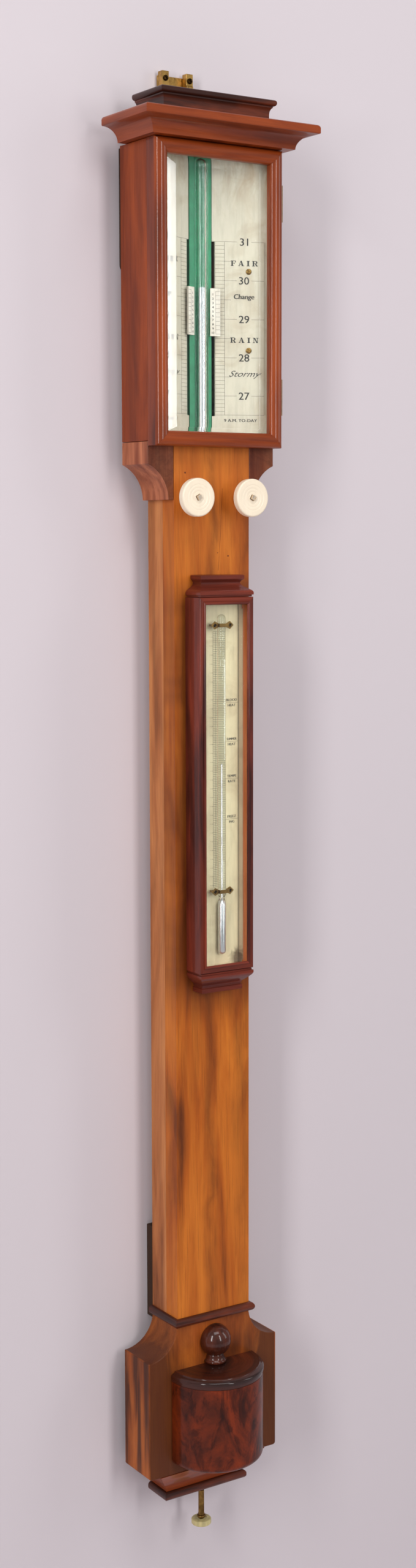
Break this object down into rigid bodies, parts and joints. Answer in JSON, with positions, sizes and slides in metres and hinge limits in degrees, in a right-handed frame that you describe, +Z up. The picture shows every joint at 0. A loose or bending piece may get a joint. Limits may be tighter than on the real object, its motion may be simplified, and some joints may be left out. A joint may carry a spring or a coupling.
{
  "type": "stick barometer",
  "caption": "Wall-hung stick barometer: glazed head with register plates, slim trunk with boxed thermometer, base with half-round cistern cover and adjusting screw.",
  "frame": {"origin": "rear face of the hanger plate on the case's centre plane, level with the hanger's two screws", "axes": "+X to the right seen from the front, +Y back into the wall, +Z up along the trunk"},
  "size_m": [0.1352, 0.076, 1.0128],
  "materials": {
    "walnut": "polished straight-grained walnut, golden orange with dark streaks",
    "mahogany": "french-polished red-brown mahogany",
    "dark_wood": "glossy dark red-brown stained hardwood",
    "burr_walnut": "polished burr walnut, dark and mottled",
    "brass": "old lacquered brass with brown tarnish",
    "bone": "aged cream bone, engraved and blacked",
    "bone_disc": "turned bone with fine concentric rings",
    "glass": "clear old glass",
    "mercury": "bright liquid mercury",
    "green_paint": "softwood strip painted green",
    "boxwood": "turned boxwood",
    "leather": "thin tanned leather"
  },
  "bodies": {
    "case": {"trunk_back": "walnut", "trunk_front": "walnut", "shoulder_block_right": "mahogany", "shoulder_block_left": "mahogany", "head_side_right": "mahogany", "head_side_left": "mahogany", "head_back": "mahogany", "head_rail": "mahogany", "cornice": "mahogany", "thermometer_box": "mahogany", "thermometer_head_mould": "mahogany", "thermometer_foot_mould": "mahogany", "base_body": "mahogany", "neck_cove": "mahogany", "upper_wall_pad": "dark_wood", "lower_wall_pad": "dark_wood", "pediment_cap": "dark_wood", "astragal": "dark_wood", "ball_finial": "dark_wood", "cover_rim": "dark_wood", "base_mould": "dark_wood", "cistern_cover": "burr_walnut", "hanger_plate": "brass", "hanger_post_left": "brass", "hanger_post_right": "brass", "hanger_screw_left": "brass", "hanger_screw_right": "brass", "hinge_fixed_leaf_upper": "brass", "hinge_fixed_leaf_lower": "brass", "plate_screw_upper": "brass", "plate_screw_lower": "brass", "screw_bush": "brass", "thermometer_clip_upper": "brass", "thermometer_clip_lower": "brass", "register_plate_right": "bone", "register_plate_left": "bone", "thermometer_scale": "bone", "glass_tube": "glass", "thermometer_glass": "glass", "thermometer_tube": "glass", "mercury": "mercury", "tube_backing": "green_paint", "cistern": "boxwood", "leather_bag": "leather"},
    "door": {"door_frame": "mahogany", "door_glass": "glass", "hinge_door_leaf_upper": "brass", "hinge_door_leaf_lower": "brass"},
    "vernier_slide_right": {"vernier_right": "bone", "vernier_rack_right": "brass"},
    "vernier_slide_left": {"vernier_left": "bone", "vernier_rack_left": "brass"},
    "knob_right": {"setting_knob_right": "bone_disc", "knob_arbor_right": "brass"},
    "knob_left": {"setting_knob_left": "bone_disc", "knob_arbor_left": "brass"},
    "bag_pad": {"pad_plate": "brass"},
    "portable_screw_set": {"portable_screw": "brass", "portable_disc": "bone_disc"}
  },
  "joints": [
    {"name": "door_hinge", "type": "hinge", "parent": "case", "child": "door", "pos_m": [0.0519, -0.04065, -0.1453], "axis": [0, 0, 1], "range_deg": [0, 100]},
    {"name": "knob_turn_right", "type": "hinge", "parent": "case", "child": "knob_right", "pos_m": [0.0215, -0.018, -0.2765], "axis": [0, -1, 0], "range_deg": [-388, 660]},
    {"name": "knob_turn_left", "type": "hinge", "parent": "case", "child": "knob_left", "pos_m": [-0.0215, -0.018, -0.2765], "axis": [0, -1, 0], "range_deg": [-660, 388]},
    {"name": "vernier_travel_right", "type": "slide", "parent": "case", "child": "vernier_slide_right", "axis": [0, 0, 1], "range_m": [-0.052, 0.0305]},
    {"name": "vernier_travel_left", "type": "slide", "parent": "case", "child": "vernier_slide_left", "axis": [0, 0, 1], "range_m": [-0.052, 0.0305]},
    {"name": "pad_lift", "type": "slide", "parent": "case", "child": "bag_pad", "axis": [0, 0, 1], "range_m": [0, 0.0075], "deforming": ["leather_bag"]},
    {"name": "portable_turn", "type": "hinge", "parent": "bag_pad", "child": "portable_screw_set", "pos_m": [0, -0.024, -0.98], "axis": [0, 0, 1], "range_deg": [-15, 2175]}
  ],
  "couplings": [
    {"joint": "vernier_travel_right", "follows": "knob_turn_right", "m_per_rad": -0.0045},
    {"joint": "vernier_travel_left", "follows": "knob_turn_left", "m_per_rad": 0.0045},
    {"joint": "portable_turn", "follows": "pad_lift", "rad_per_m": 5026.5}
  ]
}
